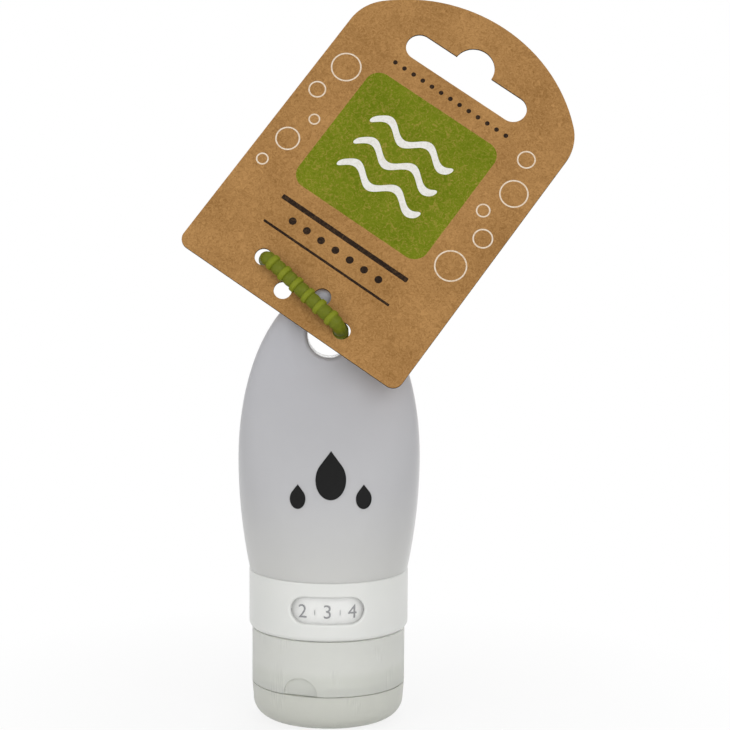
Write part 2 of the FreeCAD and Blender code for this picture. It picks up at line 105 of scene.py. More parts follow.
def frosted_polypropylene(piece, name, pale, deep, levels, see_through):
    # Painted light: paler from the first level up to the second, where light comes through more plastic
    # behind the wall; flow clouds, patches of upright drag lines that the mould left, and a frost
    # drawn coarser than real
    cloud_size = 8
    line_width = 0.4
    line_length = 5
    frost_size = 0.35
    frost_depth = 0.03
    scatter_depth = 1.5
    material, tree, place = new_material(name)
    height = add_node(tree, "ShaderNodeSeparateXYZ", {0: place}).outputs["Z"]
    # painted light: the wall's colour turns paler from the first level up to the second
    painted_light_rise = add_node(
        tree, "ShaderNodeMapRange",
        {"interpolation_type": "SMOOTHSTEP", "Value": height,
         "From Min": levels[0] * mm, "From Max": levels[1] * mm})
    clouds = add_node(
        tree, "ShaderNodeTexNoise", {"Vector": place, "Scale": 1 / (cloud_size * mm), "Detail": 2.0})
    drawn_out = add_node(
        tree, "ShaderNodeMapping", {"Vector": place, "Scale": (1.0, 1.0, line_width / line_length)})
    drag = add_node(
        tree, "ShaderNodeTexNoise",
        {"Vector": drawn_out.outputs["Vector"], "Scale": 1 / (line_width * mm), "Detail": 1.0})
    drag_lines = add_node(
        tree, "ShaderNodeMapRange",
        {"Value": drag.outputs["Fac"], "From Min": 0.35, "From Max": 0.65,
         "To Min": 0.94, "To Max": 1.05})
    patches = add_node(
        tree, "ShaderNodeMapRange",
        {"interpolation_type": "SMOOTHSTEP", "Value": clouds.outputs["Fac"],
         "From Min": 0.57, "From Max": 0.68})
    dragged = add_node(
        tree, "ShaderNodeMix", {0: patches.outputs["Result"], 2: 1.0, 3: drag_lines.outputs["Result"]})
    frost = add_node(
        tree, "ShaderNodeTexNoise", {"Vector": place, "Scale": 1 / (frost_size * mm), "Detail": 1.0})
    clouds_and_painted_light = add_node(
        tree, "ShaderNodeMix", {0: 0.4, 2: painted_light_rise.outputs["Result"], 3: clouds.outputs["Fac"]})
    milk = add_node(
        tree, "ShaderNodeMix",
        {"data_type": "RGBA", 0: clouds_and_painted_light.outputs[0], 6: linear(deep), 7: linear(pale)})
    tint = add_node(
        tree, "ShaderNodeMix",
        {"data_type": "RGBA", "blend_type": "MULTIPLY", 0: 1.0,
         6: milk.outputs[2], 7: dragged.outputs[0]})
    grain = add_node(
        tree, "ShaderNodeBump",
        {"Strength": 0.12, "Distance": frost_depth * mm, "Height": frost.outputs["Fac"]})
    gloss = add_node(
        tree, "ShaderNodeMapRange", {"Value": clouds.outputs["Fac"], "To Min": 0.4, "To Max": 0.55})
    finish_in(piece, material, {
        "Base Color": tint.outputs[2], "Normal": grain.outputs["Normal"],
        "Roughness": gloss.outputs["Result"], "IOR": 1.49, "Transmission Weight": see_through,
        "Subsurface Weight": 0.3, "Subsurface Radius": (1.0, 1.0, 1.0),
        "Subsurface Scale": scatter_depth * mm})


# The base's wall is painted paler from 11.5 mm up to 14.5 mm, as light where the neck stands behind it
frosted_polypropylene(
    nodes["cap_base"], "frosted_polypropylene_base", pale="#fbfcf6", deep="#eceee6",
    levels=(11.5, 14.5), see_through=0.4)

# Slit valve: a cross-slit disc snapped into the cap, which opens when the bottle is squeezed.
# Liquid silicone rubber, milky and matt, moulded with a thick rim and a thin middle.


def milky_silicone(piece, name, pale, deep, cloud_size):
    # Soft clouds in the rubber, and the faint dusty bloom that silicone picks up
    material, tree, place = new_material(name)
    clouds = add_node(
        tree, "ShaderNodeTexNoise", {"Vector": place, "Scale": 1 / (cloud_size * mm), "Detail": 3.0})
    tint = add_node(
        tree, "ShaderNodeMix",
        {"data_type": "RGBA", 0: clouds.outputs["Fac"], 6: linear(pale), 7: linear(deep)})
    finish_in(piece, material, {
        "Base Color": tint.outputs[2], "Roughness": 0.55, "IOR": 1.41,
        "Sheen Weight": 0.1, "Sheen Roughness": 0.5})


milky_silicone(
    nodes["slit_valve"], "valve_silicone", pale="#e6e6e2", deep="#d9d9d4", cloud_size=3)

# Flip lid: the shallow cup that closes the spout, with a plug in its middle.
# The same polypropylene as the base but one wall thick, in a greyer copy of its tones that is painted
# shade, and painted darker towards its bottom.
# painted shade: greyer tones than the base, darker below 1 mm and paler up to 7 mm
frosted_polypropylene(
    nodes["flip_lid"], "frosted_polypropylene_lid", pale="#eff0e8", deep="#e0e1d9",
    levels=(1.0, 7.0), see_through=0.4)

# Butterfly hinge: the thin film that joins lid and base, with a stiff web on the hinge line.
# Moulded in one with both in polypropylene, and whitened by flexing; its two wings spring the
# lid open.
merge_distance = 0.001


def skin(name, rows):
    # Closed mesh through rings of points in millimetres; a ring shrunk to one point is a pole
    grid = np.array(rows, float) * mm
    grid = np.concatenate([grid, grid[:, :1]], axis=1)
    bpy.ops.object.select_all(action="DESELECT")
    bpy.ops.mesh.primitive_grid_add(
        x_subdivisions=grid.shape[1] - 1, y_subdivisions=grid.shape[0] - 1)
    piece = bpy.context.object
    piece.name = name
    piece.data.name = name
    piece.data.vertices.foreach_set("co", grid.reshape(-1))
    bpy.ops.object.mode_set(mode="EDIT")
    bpy.ops.mesh.select_all(action="SELECT")
    bpy.ops.mesh.remove_doubles(threshold=merge_distance * mm)
    bpy.ops.mesh.normals_make_consistent(inside=False)
    bpy.ops.object.mode_set(mode="OBJECT")
    return piece


def join_pieces(name, pieces):
    # Several meshes made one, under this name
    bpy.ops.object.select_all(action="DESELECT")
    for piece in pieces:
        piece.select_set(True)
    bpy.context.view_layer.objects.active = pieces[0]
    bpy.ops.object.join()
    joined = bpy.context.object
    joined.name = name
    joined.data.name = name
    return joined


flip = next(joint for joint in frame["joints"] if joint["name"] == "lid_flip")
hinge_line = Vector(flip["pos_m"]) / mm
hinge_side = Vector(flip["axis"])
hinge_back = Vector((0, 0, 1)).cross(hinge_side)
cap_radius = 17.6
film_depth = 0.6
wing_half_width = 8.0
waist_half_width = 2.6
wing_rise = 3.4
waist_rise = 1.1
web_radius = 0.45
web_sides = 24
film_columns = 41
film_levels = 33


def on_cap(side, radius, height):
    # Point at the cap's back, at a sideways distance from the hinge's middle and a radius
    depth = math.sqrt(radius ** 2 - side ** 2)
    return hinge_side * side + hinge_back * depth + Vector((0, 0, height))


film_rows = []
for side in np.linspace(-wing_half_width, wing_half_width, film_columns):
    spread = max(0.0, (abs(side) - waist_half_width) / (wing_half_width - waist_half_width))
    rise = waist_rise + (wing_rise - waist_rise) * spread
    levels = np.linspace(-1, 1, film_levels) * rise + hinge_line.z
    outside = [on_cap(side, cap_radius, level) for level in levels]
    inside = [on_cap(side, cap_radius - film_depth, level) for level in levels[::-1]]
    film_rows.append(outside + inside)
film_rows = np.array(film_rows)
# Each end closes on the line halfway between its outer and inner face
closed_ends = [(film_rows[end] + film_rows[end][::-1]) / 2 for end in (0, -1)]
film = skin("hinge_film", [closed_ends[0], *film_rows, closed_ends[1]])

bpy.ops.object.select_all(action="DESELECT")
bpy.ops.mesh.primitive_cylinder_add(
    vertices=web_sides, radius=web_radius * mm, depth=2 * waist_half_width * mm,
    location=hinge_line * mm, rotation=hinge_side.to_track_quat("Z", "Y").to_euler())
web = bpy.context.object
bpy.ops.object.transform_apply(location=True, rotation=True, scale=True)
hinge = join_pieces("butterfly_hinge", [film, web])
bpy.ops.object.shade_smooth_by_angle(angle=math.radians(35))
# Painted light: the hinge is darker at its lower edge and paler from 4 mm up to 11 mm
frosted_polypropylene(
    hinge, "stress_whitened_polypropylene", pale="#f6f7f0", deep="#eaebe3",
    levels=(4.0, 11.0), see_through=0.0)
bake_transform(hinge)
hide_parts("hinge_panel")

# Neck seal: the flat washer that the neck's rim presses on the cap's deck.
# Punched from milky silicone sheet.
milky_silicone(
    nodes["neck_seal"], "seal_silicone", pale="#e2e2de", deep="#d2d2cc", cloud_size=4)

# Squeeze body: the soft bottle itself, with its neck, thread and flat hanging end.
# Moulded in one piece from matt translucent silicone about 2 mm thick.
shoulder = 34.8
collar_gap = 0.02
shoulder_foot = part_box("selector_collar")[1][2] / mm + collar_gap
shoulder_radius = 18.2
belly = 60.5
belly_half_width = 20.8
body_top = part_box("squeeze_body")[1][2] / mm
depth_ease = 1.4
round_power = 2.0
flat_power = 2.8
loop_height = 88.6
loop_radius = 5.05
loop_edge_round = 1.2
land_radius = 5.8
land_half = 3.1
land_ease = 0.06
land_softness = 1.2
tip_half = 3.8
web_height = loop_height - loop_radius
neck_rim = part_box("squeeze_body")[0][2] / mm
neck_bore = 12.6
neck_core = 14.6
neck_seat = 15.7
neck_bead = 16.9
bead_low = 22.6
bead_high = 23.8
bead_lead_in = 0.4
bead_lead_rise = 0.45
collar_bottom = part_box("selector_collar")[0][2] / mm
cavity_bottom = 39.3
cavity_top = 76.25
body_wall = 2.0
small_edge = 0.1
rim_edge = 0.2
ring_points = 192
oval_samples = 1441


def half_width(height):
    # Widest at the belly, drawn in to the shoulder below and rounded off to the top
    if height < belly:
        fall = ((belly - height) / (belly - shoulder)) ** 2
        return belly_half_width - (belly_half_width - shoulder_radius) * fall
    return belly_half_width * math.sqrt(max(0.0, 1 - ((height - belly) / (body_top - belly)) ** 2))


def taper(height):
    # 0 at the shoulder, 1 where the flat hanging end begins
    return min(1.0, max(0.0, (height - shoulder) / (web_height - shoulder)))


def half_depth(height):
    # Falls from the round shoulder to the flat hanging end, whose top edge is rounded
    fall = (1 - math.cos(math.pi * taper(height) ** depth_ease)) / 2
    tip = height - (body_top - tip_half)
    if tip > 0:
        return tip_half * math.sqrt(max(0.0, 1 - (tip / tip_half) ** 2))
    return shoulder_radius + (tip_half - shoulder_radius) * fall


def oval(width, depth, height, power):
    # Rounded oval, its points evenly spaced along its edge
    turn = np.linspace(0, 2 * math.pi, oval_samples)
    x = width * np.sign(np.cos(turn)) * np.abs(np.cos(turn)) ** (2 / power)
    y = depth * np.sign(np.sin(turn)) * np.abs(np.sin(turn)) ** (2 / power)
    run = np.concatenate([[0], np.cumsum(np.hypot(np.diff(x), np.diff(y)))])
    even = np.linspace(0, run[-1], ring_points, endpoint=False)
    level = np.full(ring_points, height)
    return np.stack([np.interp(even, run, x), np.interp(even, run, y), level], axis=1)


def oval_power(height):
    # Round at the shoulder, squarer towards the flat hanging end
    return round_power + (flat_power - round_power) * taper(height)


def body_row(height, inset):
    # Ring of the body at a height, drawn in from its outer face by the inset
    width = max(half_width(height) - inset, 0.0)
    return oval(width, max(half_depth(height) - inset, 0.0), height, oval_power(height))


def flatten_land(row):
    # The faces sink smoothly into the flat land round the hanging hole
    reach = np.hypot(row[:, 0], row[:, 2] - loop_height)
    land = land_half + np.clip(reach - land_radius, 0, None) ** 2 * land_ease
    depth = np.abs(row[:, 1])
    gap = np.clip(0.5 + 0.5 * (land - depth) / land_softness, 0, 1)
    blended = land * (1 - gap) + depth * gap - land_softness * gap * (1 - gap)
    row[:, 1] = np.sign(row[:, 1]) * np.maximum(blended, 0)
    return row


# One skin: down the outer wall, round the neck, and up the inner wall; the rows are closest at
# the rounded tip and round the hanging hole
row_gap = 0.5
loop_row_gap = 0.55
loop_foot = 76.0
belly_start = 75.6
tip_leans = np.linspace(0.05, math.pi / 2, 14)
tip_heights = body_top - tip_half * (1 - np.cos(tip_leans))
loop_heights = np.arange(body_top - tip_half - row_gap, loop_foot, -loop_row_gap)
belly_heights = np.linspace(belly_start, shoulder + row_gap, 36)
outer_heights = np.concatenate([tip_heights, loop_heights, belly_heights])
neck_profile = (
    (shoulder_radius, shoulder), (shoulder_radius, shoulder_foot), (neck_seat, shoulder_foot),
    (neck_seat, bead_high), (neck_bead - small_edge, bead_high),
    (neck_bead, bead_high - small_edge), (neck_bead, bead_low + bead_lead_rise),
    (neck_bead - bead_lead_in, bead_low), (neck_seat, bead_low), (neck_seat, collar_bottom),
    (neck_core, collar_bottom), (neck_core, neck_rim + rim_edge), (neck_core - rim_edge, neck_rim),
    (neck_bore + rim_edge, neck_rim), (neck_bore, neck_rim + rim_edge),
    (neck_bore, shoulder - rim_edge))
funnel_shares = np.linspace(0.06, 1, 9)
funnel_depth = shoulder_radius - neck_bore - body_wall
cavity_row_gap = 0.8
cavity_heights = np.linspace(cavity_bottom + cavity_row_gap, cavity_top, 30)
rows = [[(0, 0, body_top)] * ring_points]
rows += [flatten_land(body_row(height, 0)) for height in outer_heights]
rows += [oval(radius, radius, height, round_power) for radius, height in neck_profile]
for share in funnel_shares:
    inset = body_wall + funnel_depth * (1 + math.cos(math.pi * share)) / 2
    rows.append(body_row(shoulder + (cavity_bottom - shoulder) * share, inset))
rows += [body_row(height, body_wall) for height in cavity_heights]
rows.append([(0, 0, cavity_top)] * ring_points)
body = skin("bottle_body", rows)


def cut_or_join(piece, tool, operation):
    # Boolean of two pieces, which uses up the tool; corners that fall together are merged
    modifier = piece.modifiers.new("shape", "BOOLEAN")
    modifier.object = tool
    modifier.operation = operation
    modifier.solver = "EXACT"
    bpy.context.view_layer.objects.active = piece
    bpy.ops.object.modifier_apply(modifier=modifier.name)
    bpy.data.objects.remove(tool)
    bpy.ops.object.mode_set(mode="EDIT")
    bpy.ops.mesh.select_all(action="SELECT")
    bpy.ops.mesh.remove_doubles(threshold=merge_distance * mm)
    bpy.ops.object.mode_set(mode="OBJECT")


# The hanging hole: a bore whose rims are rounded where it comes out on the land
bore_points = 96
flare = 6.6
bore_end = 9.0
rim_leans = np.radians(np.linspace(78, 0, 9))
bore_profile = [(0.0, -bore_end), (flare, -bore_end), (flare, -land_half - small_edge)]
for lean in rim_leans:
    bore_profile.append((
        loop_radius + loop_edge_round * (1 - math.cos(lean)),
        -(land_half - loop_edge_round + loop_edge_round * math.sin(lean))))
bore_profile += [(radius, -depth) for radius, depth in bore_profile[::-1]]
turns = np.linspace(0, 2 * math.pi, bore_points, endpoint=False)
bore_rows = [
    [(radius * math.cos(turn), depth, loop_height + radius * math.sin(turn)) for turn in turns]
    for radius, depth in bore_profile]
cut_or_join(body, skin("loop_bore", bore_rows), "DIFFERENCE")

# The neck's thread: one ridge that swells from the neck and dies away again
thread_lift = 1.7
thread_pitch = 4.0
thread_turns = 1.3
thread_depth = 1.2
thread_root = -0.2
root_half = 0.85
crest_half = 0.45
fade_share = 1 / 12
thread_points = 145
thread_rows = []
for share in np.linspace(0, 1, thread_points):
    swell = min(1.0, share / fade_share, (1 - share) / fade_share) * thread_depth
    turn = share * thread_turns * 2 * math.pi
    middle = neck_rim + thread_lift + thread_pitch * thread_turns * share
    section = [
        (thread_root, -root_half), (swell, -crest_half), (swell, crest_half), (thread_root, root_half)]
    thread_rows.append([
        ((neck_core + out) * math.cos(turn), (neck_core + out) * math.sin(turn), middle + lift)
        for out, lift in section])
ends = [[np.mean(thread_rows[end], axis=0)] * len(section) for end in (0, -1)]
cut_or_join(body, skin("neck_thread", [ends[0]] + thread_rows + [ends[1]]), "UNION")
bpy.ops.object.select_all(action="DESELECT")
body.select_set(True)
bpy.context.view_layer.objects.active = body
bpy.ops.object.shade_smooth_by_angle(angle=math.radians(40))

# Matt moulded silicone with painted light: greyer towards the solid hanging end and paler near
# the shoulder where light comes through from the collar, with a faint bloom; the hole's wall is
# left smoother by the mould's core pin
middle_stop = 0.3
bloom_size = 11
scatter_depth = 3
bore_margin = 0.3
bore_roughness = 0.2
body_finish, tree, place = new_material("moulded_translucent_silicone")
height = add_node(tree, "ShaderNodeSeparateXYZ", {0: place}).outputs["Z"]
rise = add_node(
    tree, "ShaderNodeMapRange",
    {"Value": height, "From Min": shoulder * mm, "From Max": body_top * mm})
# painted light: the colour runs from pale at the shoulder to grey at the body's top
painted_light_ramp = add_node(tree, "ShaderNodeValToRGB", {"Fac": rise.outputs["Result"]})
painted_light_ramp.color_ramp.elements[0].color = linear("#cbcbc8")
painted_light_ramp.color_ramp.elements[1].color = linear("#b0b0b5")
painted_light_ramp.color_ramp.elements.new(middle_stop).color = linear("#bcbcbe")
bloom = add_node(
    tree, "ShaderNodeTexNoise", {"Vector": place, "Scale": 1 / (bloom_size * mm), "Detail": 3.0})
clouds = add_node(
    tree, "ShaderNodeMapRange", {"Value": bloom.outputs["Fac"], "To Min": 0.97, "To Max": 1.03})
tint = add_node(
    tree, "ShaderNodeMix",
    {"data_type": "RGBA", "blend_type": "MULTIPLY", 0: 1.0,
     6: painted_light_ramp.outputs["Color"], 7: clouds.outputs["Result"]})
matt = add_node(
    tree, "ShaderNodeMapRange", {"Value": bloom.outputs["Fac"], "To Min": 0.5, "To Max": 0.62})
from_loop = add_node(
    tree, "ShaderNodeVectorMath", {"operation": "SUBTRACT", 0: place, 1: (0, 0, loop_height * mm)})
in_face = add_node(
    tree, "ShaderNodeVectorMath", {"operation": "MULTIPLY", 0: from_loop.outputs[0], 1: (1, 0, 1)})
loop_reach = add_node(tree, "ShaderNodeVectorMath", {"operation": "LENGTH", 0: in_face.outputs[0]})
in_bore = add_node(
    tree, "ShaderNodeMath",
    {"operation": "LESS_THAN", 0: loop_reach.outputs["Value"], 1: (loop_radius + bore_margin) * mm})
roughness = add_node(
    tree, "ShaderNodeMix", {0: in_bore.outputs[0], 2: matt.outputs["Result"], 3: bore_roughness})
finish_in(body, body_finish, {
    "Base Color": tint.outputs[2], "Roughness": roughness.outputs[0], "IOR": 1.41,
    "Subsurface Weight": 0.35, "Subsurface Radius": (1.0, 1.0, 1.0),
    "Subsurface Scale": scatter_depth * mm, "Sheen Weight": 0.85, "Sheen Roughness": 0.4})
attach(body, "bottle")
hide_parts("squeeze_body")

# Body print: a mark of three drops on the bottle's front.
# Black silicone ink, screen printed as a thin matt film that bends with the body.
print_lift = 0.02
print_depth = 0.04
drop_slimness = 0.8
drop_shares = np.linspace(0.1, 1, 10)
drops = ((0.6, 57.5, 4.3), (-6.8, 53.4, 2.2), (8.0, 53.4, 2.2))


def on_body_front(side, height, lift):
    # Point above the body's front face, at a sideways distance and a height
    power = oval_power(height)
    slimness = (1 - (abs(side) / half_width(height)) ** power) ** (1 / power)
    return (side, -half_depth(height) * slimness - lift, height)


# One drop of unit size: a round bowl whose sides run straight up to a tip
bowl_turns = np.radians(np.linspace(-225, 45, 61))
bowl = np.stack([np.cos(bowl_turns), np.sin(bowl_turns)], axis=1)
tip = (0.0, math.sqrt(2))
side_points = 13
right_side = np.linspace(bowl[-1], tip, side_points)
left_side = np.linspace(tip, bowl[0], side_points)
unit_drop = np.concatenate([bowl, right_side[1:], left_side[1:-1]])
unit_drop[:, 0] *= drop_slimness
print_films = []
for middle_side, middle_height, radius in drops:
    drop_rows = []
    for shares, lift in ((drop_shares, print_lift + print_depth), (drop_shares[::-1], print_lift)):
        for share in shares:
            ring = unit_drop * radius * share + (middle_side, middle_height)
            drop_rows.append([on_body_front(side, height, lift) for side, height in ring])
    poles = [
        [on_body_front(middle_side, middle_height, lift)] * len(unit_drop)
        for lift in (print_lift + print_depth, print_lift)]
    print_films.append(skin("drop_film", [poles[0], *drop_rows, poles[1]]))
body_print = join_pieces("body_print", print_films)
bpy.ops.object.shade_smooth_by_angle(angle=math.radians(40))


def two_tone(piece, name, tones, grain_size, surface_settings):
    # A plain moulded or printed surface with soft variation between two close tones
    material, tree, place = new_material(name)
    clouds = add_node(
        tree, "ShaderNodeTexNoise", {"Vector": place, "Scale": 1 / (grain_size * mm), "Detail": 2.0})
    tint = add_node(
        tree, "ShaderNodeMix",
        {"data_type": "RGBA", 0: clouds.outputs["Fac"], 6: linear(tones[0]), 7: linear(tones[1])})
    finish_in(piece, material, {"Base Color": tint.outputs[2], **surface_settings})


two_tone(
    body_print, "black_silicone_ink", tones=("#0b0b0b", "#161616"), grain_size=0.6,
    surface_settings={"Roughness": 0.6, "Specular IOR Level": 0.15})
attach(body_print, "bottle")

# Dial band: the ring of numbers under the collar, some of which show in the window.
# Matt white polypropylene, pad printed in grey.
two_tone(
    nodes["dial_band"], "matt_white_polypropylene", tones=("#fbfbf9", "#f3f3f0"), grain_size=3,
    surface_settings={"Roughness": 0.5})
band_radius = 16.35
dial_middle = 27.6
ink_lift = 0.08
ink_depth = 0.04
number_height = 3.1
figure_share_of_font = 0.7
number_count = 18
first_number = 3
mark_width = 0.35
mark_height = 1.1
printed = []
for number in range(number_count):
    bpy.ops.object.select_all(action="DESELECT")
    bpy.ops.object.text_add()
    lettering = bpy.context.object.data
    lettering.body = str((number + first_number - 1) % number_count + 1)
    lettering.align_x = "CENTER"
    lettering.align_y = "CENTER"
    lettering.size = number_height / figure_share_of_font * mm
    lettering.extrude = ink_depth / 2 * mm
    bpy.ops.object.convert(target="MESH")
    figure = bpy.context.object
    start = -math.pi / 2 + number * 2 * math.pi / number_count
    for vertex in figure.data.vertices:
        turn = start + vertex.co.x / (band_radius * mm)
        radius = (band_radius + ink_lift) * mm + vertex.co.z
        vertex.co = (radius * math.cos(turn), radius * math.sin(turn), dial_middle * mm + vertex.co.y)
    printed.append(figure)
    turn = start + math.pi / number_count
    bpy.ops.object.select_all(action="DESELECT")
    bpy.ops.mesh.primitive_cube_add(size=1, rotation=(0, 0, turn))
    bpy.ops.transform.resize(value=(ink_depth * mm, mark_width * mm, mark_height * mm))
    bpy.ops.transform.translate(value=Vector((
        (band_radius + ink_lift) * math.cos(turn),
        (band_radius + ink_lift) * math.sin(turn),
        dial_middle)) * mm)
    bpy.ops.object.transform_apply(location=True, rotation=True, scale=True)
    printed.append(bpy.context.object)
numbers = join_pieces("dial_numbers", printed)
two_tone(
    numbers, "grey_pad_print_ink", tones=("#78787b", "#8a8a8d"), grain_size=0.25,
    surface_settings={"Roughness": 0.6})
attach(numbers, "bottle")

# Selector collar: the ring that turns on the neck, snapped over its bead.
# White polypropylene with a satin face, slightly translucent at its thin rims.
scatter_depth = 1.5
two_tone(
    nodes["selector_collar"], "satin_white_polypropylene", tones=("#e5e5e2", "#dddfdb"),
    grain_size=10, surface_settings={
        "Roughness": 0.36, "IOR": 1.49, "Subsurface Weight": 0.2,
        "Subsurface Radius": (1.0, 1.0, 1.0), "Subsurface Scale": scatter_depth * mm})

# Window lens: the clear plate behind the collar's window, pressed in from inside.
# Polished plastic, clear with a slight milkiness.
two_tone(
    nodes["window_lens"], "milky_clear_plastic", tones=("#f4f5f5", "#ebecec"), grain_size=5,
    surface_settings={"Roughness": 0.12, "IOR": 1.49, "Alpha": 0.12})

# Hang tag: the card that hangs on a shop hook and is tied to the bottle.
# Uncoated kraft board 0.6 mm thick, die cut, printed in green, white and dark ink on its face.
slot_mount = next(mount for mount in frame["record"]["mounts"] if mount["name"] == "hang_slot")
slot_rise = 71.0
tag_turn = math.radians(35.3)
tag_face = Vector(slot_mount["axis"])
tag_slope = Vector((0, tag_face.z, -tag_face.y))
tag_across = Vector((math.cos(tag_turn), 0, 0)) - tag_slope * math.sin(tag_turn)
tag_along = Vector((math.sin(tag_turn), 0, 0)) + tag_slope * math.cos(tag_turn)
tag_foot = Vector(slot_mount["pos_m"]) / mm - tag_along * slot_rise
card_finish, tree, place = new_material("printed_kraft_board")
from_foot = add_node(
    tree, "ShaderNodeVectorMath", {"operation": "SUBTRACT", 0: place, 1: tag_foot * mm}).outputs[0]
in_mm = add_node(
    tree, "ShaderNodeVectorMath", {"operation": "SCALE", 0: from_foot, "Scale": 1 / mm}).outputs[0]
side = add_node(
    tree, "ShaderNodeVectorMath",
    {"operation": "DOT_PRODUCT", 0: in_mm, 1: tag_across}).outputs["Value"]
rise = add_node(
    tree, "ShaderNodeVectorMath",
    {"operation": "DOT_PRODUCT", 0: in_mm, 1: tag_along}).outputs["Value"]
on_card = add_node(tree, "ShaderNodeCombineXYZ", {0: side, 1: rise}).outputs[0]

# Kraft pulp: soft clouds, tangled fibres and fine dark flecks, drawn coarser than real
cloud_size = 12
fibres_per_mm = 1.0
flecks_per_mm = 1.8
clouds = add_node(
    tree, "ShaderNodeTexNoise",
    {"Vector": on_card, "Scale": 1 / cloud_size, "Detail": 3.0}).outputs["Fac"]
fibres = add_node(
    tree, "ShaderNodeTexNoise",
    {"Vector": on_card, "Scale": fibres_per_mm, "Detail": 4.0, "Roughness": 0.65,
     "Distortion": 1.8}).outputs["Fac"]
flecks = add_node(
    tree, "ShaderNodeTexNoise",
    {"Vector": on_card, "Scale": flecks_per_mm, "Detail": 2.0}).outputs["Fac"]
mottle = add_node(tree, "ShaderNodeMix", {0: 0.3, 2: fibres, 3: clouds}).outputs[0]
spread = add_node(
    tree, "ShaderNodeMapRange", {"Value": mottle, "From Min": 0.35, "From Max": 0.65}).outputs["Result"]
pulp = add_node(
    tree, "ShaderNodeMix",
    {"data_type": "RGBA", 0: spread, 6: linear("#8f6738"), 7: linear("#b98c56")}).outputs[2]
dark_flecks = add_node(
    tree, "ShaderNodeMapRange", {"Value": flecks, "From Min": 0.6, "From Max": 0.7, "To Max": 0.4})
kraft = add_node(
    tree, "ShaderNodeMix",
    {"data_type": "RGBA", 0: dark_flecks.outputs["Result"], 6: pulp, 7: linear("#7c562a")}).outputs[2]


def printed_box(tree, flat, middle, half_size, corner):
    # 1 inside a box with round corners on the flat coordinates, 0 outside
    offset = add_node(
        tree, "ShaderNodeVectorMath", {"operation": "SUBTRACT", 0: flat, 1: (*middle, 0)}).outputs[0]
    folded = add_node(tree, "ShaderNodeVectorMath", {"operation": "ABSOLUTE", 0: offset}).outputs[0]
    core = (half_size[0] - corner, half_size[1] - corner, 0)
    past = add_node(
        tree, "ShaderNodeVectorMath", {"operation": "SUBTRACT", 0: folded, 1: core}).outputs[0]
    outside = add_node(
        tree, "ShaderNodeVectorMath", {"operation": "MAXIMUM", 0: past, 1: (0, 0, 0)}).outputs[0]
    reach = add_node(
        tree, "ShaderNodeVectorMath", {"operation": "LENGTH", 0: outside}).outputs["Value"]
    return add_node(
        tree, "ShaderNodeMath", {"operation": "LESS_THAN", 0: reach, 1: corner}).outputs[0]


def printed_disc(tree, flat, middle, radius):
    # 1 inside a disc on the flat coordinates, 0 outside
    reach = add_node(
        tree, "ShaderNodeVectorMath",
        {"operation": "DISTANCE", 0: flat, 1: (*middle, 0)}).outputs["Value"]
    return add_node(
        tree, "ShaderNodeMath", {"operation": "LESS_THAN", 0: reach, 1: radius}).outputs[0]


def printed_ring(tree, flat, middle, radius, half_line):
    # 1 on a ring's line on the flat coordinates, 0 beside it
    reach = add_node(
        tree, "ShaderNodeVectorMath",
        {"operation": "DISTANCE", 0: flat, 1: (*middle, 0)}).outputs["Value"]
    return add_node(
        tree, "ShaderNodeMath",
        {"operation": "COMPARE", 0: reach, 1: radius, 2: half_line}).outputs[0]


def either(tree, masks):
    # 1 where any of the masks is 1
    total = masks[0]
    for mask in masks[1:]:
        total = add_node(
            tree, "ShaderNodeMath", {"operation": "MAXIMUM", 0: total, 1: mask}).outputs[0]
    return total


# Printed design: a panel with three waves, rings rising like bubbles beside it, ruled lines and
# rows of dots; places are given across and up from the card's foot, in millimetres. A bubble is
# its place and radius, a rule its height and half line, and a dot row its height, pitch, half
# length and dot radius.
panel_middle = (-0.7, 44.1)
panel_half_size = (18.0, 16.8)
panel_corner = 3.5
wave_length = 11.0
wave_height = 1.5
wave_half_size = (11.4, 0.95)
wave_rows = (-6.5, 0.0, 6.5)
bubbles = (
    (-24.2, 57.0, 3.4), (-26.4, 48.6, 1.9), (-22.6, 42.2, 1.2), (-24.8, 34.8, 2.7),
    (-26.6, 27.4, 1.3), (22.8, 62.5, 2.0), (25.2, 54.0, 3.2), (21.8, 46.6, 1.5),
    (25.6, 41.0, 2.2), (23.4, 31.4, 3.6))
bubble_half_line = 0.17
rule_half_length = 17.5
rules = ((22.8, 0.6), (15.6, 0.3))
dot_rows = ((19.2, 4.0, 15.0, 0.9), (64.6, 2.6, 16.7, 0.55))
panel = printed_box(tree, on_card, panel_middle, panel_half_size, panel_corner)
phase = add_node(
    tree, "ShaderNodeMath",
    {"operation": "MULTIPLY", 0: side, 1: 2 * math.pi / wave_length}).outputs[0]
swing = add_node(tree, "ShaderNodeMath", {"operation": "SINE", 0: phase}).outputs[0]
swung = add_node(
    tree, "ShaderNodeMath",
    {"operation": "MULTIPLY_ADD", 0: swing, 1: -wave_height, 2: rise}).outputs[0]
wavy = add_node(tree, "ShaderNodeCombineXYZ", {0: side, 1: swung}).outputs[0]
waves = [
    printed_box(
        tree, wavy, (panel_middle[0], panel_middle[1] + row), wave_half_size, wave_half_size[1])
    for row in wave_rows]
rings = [
    printed_ring(tree, on_card, (across, up), radius, bubble_half_line)
    for across, up, radius in bubbles]
dark_marks = [
    printed_box(tree, on_card, (0.0, up), (rule_half_length, half_line), half_line / 2)
    for up, half_line in rules]
for up, pitch, half_length, radius in dot_rows:
    repeated = add_node(
        tree, "ShaderNodeMath", {"operation": "PINGPONG", 0: side, 1: pitch / 2}).outputs[0]
    flat = add_node(tree, "ShaderNodeCombineXYZ", {0: repeated, 1: rise}).outputs[0]
    inside = printed_box(tree, on_card, (0.0, up), (half_length, 2 * radius), radius)
    dots = printed_disc(tree, flat, (0.0, up), radius)
    dark_marks.append(add_node(
        tree, "ShaderNodeMath", {"operation": "MULTIPLY", 0: dots, 1: inside}).outputs[0])
